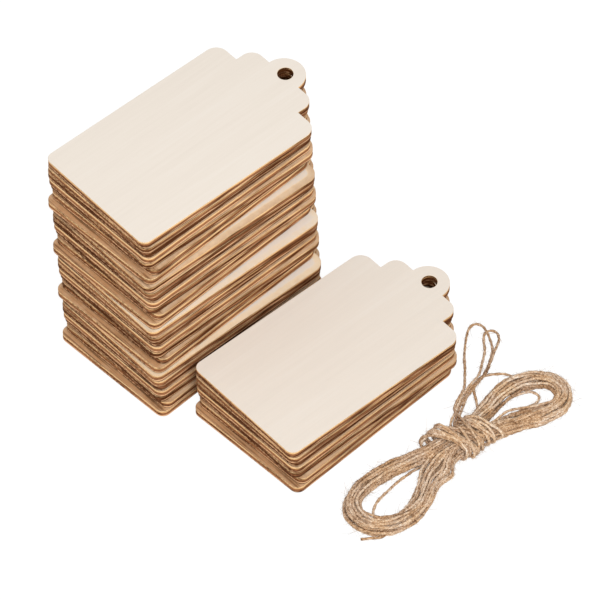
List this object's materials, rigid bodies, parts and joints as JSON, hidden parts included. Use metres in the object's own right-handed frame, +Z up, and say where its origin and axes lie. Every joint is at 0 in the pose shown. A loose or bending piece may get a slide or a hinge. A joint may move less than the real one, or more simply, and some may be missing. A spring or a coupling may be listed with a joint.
{
  "type": "hang tag set",
  "caption": "Stacked blank plywood hang tags with scalloped heads and a string hole each, beside a tied hank of jute twine for stringing them.",
  "frame": {"origin": "centre of the underside of the tall stack's bottom tag", "axes": "+X across a tag towards the low stack and the hank, +Y along a tag to its head, +Z up the stack"},
  "size_m": [0.1471, 0.1109, 0.0867],
  "materials": {
    "plywood": "sanded bare veneer, edges burnt brown by the laser",
    "jute": "dry twisted jute fibre, fuzzy"
  },
  "bodies": {
    "tall_tag_01": {"tall_tag_01": "plywood"},
    "tall_tag_02": {"tall_tag_02": "plywood"},
    "tall_tag_03": {"tall_tag_03": "plywood"},
    "tall_tag_04": {"tall_tag_04": "plywood"},
    "tall_tag_05": {"tall_tag_05": "plywood"},
    "tall_tag_06": {"tall_tag_06": "plywood"},
    "tall_tag_07": {"tall_tag_07": "plywood"},
    "tall_tag_08": {"tall_tag_08": "plywood"},
    "tall_tag_09": {"tall_tag_09": "plywood"},
    "tall_tag_10": {"tall_tag_10": "plywood"},
    "tall_tag_11": {"tall_tag_11": "plywood"},
    "tall_tag_12": {"tall_tag_12": "plywood"},
    "tall_tag_13": {"tall_tag_13": "plywood"},
    "tall_tag_14": {"tall_tag_14": "plywood"},
    "tall_tag_15": {"tall_tag_15": "plywood"},
    "tall_tag_16": {"tall_tag_16": "plywood"},
    "tall_tag_17": {"tall_tag_17": "plywood"},
    "tall_tag_18": {"tall_tag_18": "plywood"},
    "tall_tag_19": {"tall_tag_19": "plywood"},
    "tall_tag_20": {"tall_tag_20": "plywood"},
    "tall_tag_21": {"tall_tag_21": "plywood"},
    "tall_tag_22": {"tall_tag_22": "plywood"},
    "tall_tag_23": {"tall_tag_23": "plywood"},
    "tall_tag_24": {"tall_tag_24": "plywood"},
    "tall_tag_25": {"tall_tag_25": "plywood"},
    "tall_tag_26": {"tall_tag_26": "plywood"},
    "tall_tag_27": {"tall_tag_27": "plywood"},
    "tall_tag_28": {"tall_tag_28": "plywood"},
    "low_tag_01": {"low_tag_01": "plywood"},
    "low_tag_02": {"low_tag_02": "plywood"},
    "low_tag_03": {"low_tag_03": "plywood"},
    "low_tag_04": {"low_tag_04": "plywood"},
    "low_tag_05": {"low_tag_05": "plywood"},
    "low_tag_06": {"low_tag_06": "plywood"},
    "low_tag_07": {"low_tag_07": "plywood"},
    "hank": {"twine_hank": "jute", "twine_bights": "jute"}
  },
  "joints": [
    {"name": "lift_tall_tag_02", "type": "slide", "parent": "tall_tag_01", "child": "tall_tag_02", "axis": [0, 0, 1], "range_m": [0, 0.01]},
    {"name": "lift_tall_tag_03", "type": "slide", "parent": "tall_tag_02", "child": "tall_tag_03", "axis": [0, 0, 1], "range_m": [0, 0.01]},
    {"name": "lift_tall_tag_04", "type": "slide", "parent": "tall_tag_03", "child": "tall_tag_04", "axis": [0, 0, 1], "range_m": [0, 0.01]},
    {"name": "lift_tall_tag_05", "type": "slide", "parent": "tall_tag_04", "child": "tall_tag_05", "axis": [0, 0, 1], "range_m": [0, 0.01]},
    {"name": "lift_tall_tag_06", "type": "slide", "parent": "tall_tag_05", "child": "tall_tag_06", "axis": [0, 0, 1], "range_m": [0, 0.01]},
    {"name": "lift_tall_tag_07", "type": "slide", "parent": "tall_tag_06", "child": "tall_tag_07", "axis": [0, 0, 1], "range_m": [0, 0.01]},
    {"name": "lift_tall_tag_08", "type": "slide", "parent": "tall_tag_07", "child": "tall_tag_08", "axis": [0, 0, 1], "range_m": [0, 0.01]},
    {"name": "lift_tall_tag_09", "type": "slide", "parent": "tall_tag_08", "child": "tall_tag_09", "axis": [0, 0, 1], "range_m": [0, 0.01]},
    {"name": "lift_tall_tag_10", "type": "slide", "parent": "tall_tag_09", "child": "tall_tag_10", "axis": [0, 0, 1], "range_m": [0, 0.01]},
    {"name": "lift_tall_tag_11", "type": "slide", "parent": "tall_tag_10", "child": "tall_tag_11", "axis": [0, 0, 1], "range_m": [0, 0.01]},
    {"name": "lift_tall_tag_12", "type": "slide", "parent": "tall_tag_11", "child": "tall_tag_12", "axis": [0, 0, 1], "range_m": [0, 0.01]},
    {"name": "lift_tall_tag_13", "type": "slide", "parent": "tall_tag_12", "child": "tall_tag_13", "axis": [0, 0, 1], "range_m": [0, 0.01]},
    {"name": "lift_tall_tag_14", "type": "slide", "parent": "tall_tag_13", "child": "tall_tag_14", "axis": [0, 0, 1], "range_m": [0, 0.01]},
    {"name": "lift_tall_tag_15", "type": "slide", "parent": "tall_tag_14", "child": "tall_tag_15", "axis": [0, 0, 1], "range_m": [0, 0.01]},
    {"name": "lift_tall_tag_16", "type": "slide", "parent": "tall_tag_15", "child": "tall_tag_16", "axis": [0, 0, 1], "range_m": [0, 0.01]},
    {"name": "lift_tall_tag_17", "type": "slide", "parent": "tall_tag_16", "child": "tall_tag_17", "axis": [0, 0, 1], "range_m": [0, 0.01]},
    {"name": "lift_tall_tag_18", "type": "slide", "parent": "tall_tag_17", "child": "tall_tag_18", "axis": [0, 0, 1], "range_m": [0, 0.01]},
    {"name": "lift_tall_tag_19", "type": "slide", "parent": "tall_tag_18", "child": "tall_tag_19", "axis": [0, 0, 1], "range_m": [0, 0.01]},
    {"name": "lift_tall_tag_20", "type": "slide", "parent": "tall_tag_19", "child": "tall_tag_20", "axis": [0, 0, 1], "range_m": [0, 0.01]},
    {"name": "lift_tall_tag_21", "type": "slide", "parent": "tall_tag_20", "child": "tall_tag_21", "axis": [0, 0, 1], "range_m": [0, 0.01]},
    {"name": "lift_tall_tag_22", "type": "slide", "parent": "tall_tag_21", "child": "tall_tag_22", "axis": [0, 0, 1], "range_m": [0, 0.01]},
    {"name": "lift_tall_tag_23", "type": "slide", "parent": "tall_tag_22", "child": "tall_tag_23", "axis": [0, 0, 1], "range_m": [0, 0.01]},
    {"name": "lift_tall_tag_24", "type": "slide", "parent": "tall_tag_23", "child": "tall_tag_24", "axis": [0, 0, 1], "range_m": [0, 0.01]},
    {"name": "lift_tall_tag_25", "type": "slide", "parent": "tall_tag_24", "child": "tall_tag_25", "axis": [0, 0, 1], "range_m": [0, 0.01]},
    {"name": "lift_tall_tag_26", "type": "slide", "parent": "tall_tag_25", "child": "tall_tag_26", "axis": [0, 0, 1], "range_m": [0, 0.01]},
    {"name": "lift_tall_tag_27", "type": "slide", "parent": "tall_tag_26", "child": "tall_tag_27", "axis": [0, 0, 1], "range_m": [0, 0.01]},
    {"name": "lift_tall_tag_28", "type": "slide", "parent": "tall_tag_27", "child": "tall_tag_28", "axis": [0, 0, 1], "range_m": [0, 0.01]},
    {"name": "lift_low_tag_01", "type": "slide", "parent": "tall_tag_01", "child": "low_tag_01", "axis": [0, 0, 1], "range_m": [0, 0.01]},
    {"name": "lift_low_tag_02", "type": "slide", "parent": "low_tag_01", "child": "low_tag_02", "axis": [0, 0, 1], "range_m": [0, 0.01]},
    {"name": "lift_low_tag_03", "type": "slide", "parent": "low_tag_02", "child": "low_tag_03", "axis": [0, 0, 1], "range_m": [0, 0.01]},
    {"name": "lift_low_tag_04", "type": "slide", "parent": "low_tag_03", "child": "low_tag_04", "axis": [0, 0, 1], "range_m": [0, 0.01]},
    {"name": "lift_low_tag_05", "type": "slide", "parent": "low_tag_04", "child": "low_tag_05", "axis": [0, 0, 1], "range_m": [0, 0.01]},
    {"name": "lift_low_tag_06", "type": "slide", "parent": "low_tag_05", "child": "low_tag_06", "axis": [0, 0, 1], "range_m": [0, 0.01]},
    {"name": "lift_low_tag_07", "type": "slide", "parent": "low_tag_06", "child": "low_tag_07", "axis": [0, 0, 1], "range_m": [0, 0.01]},
    {"name": "lift_hank", "type": "slide", "parent": "tall_tag_01", "child": "hank", "axis": [0, 0, 1], "range_m": [0, 0.01]}
  ]
}
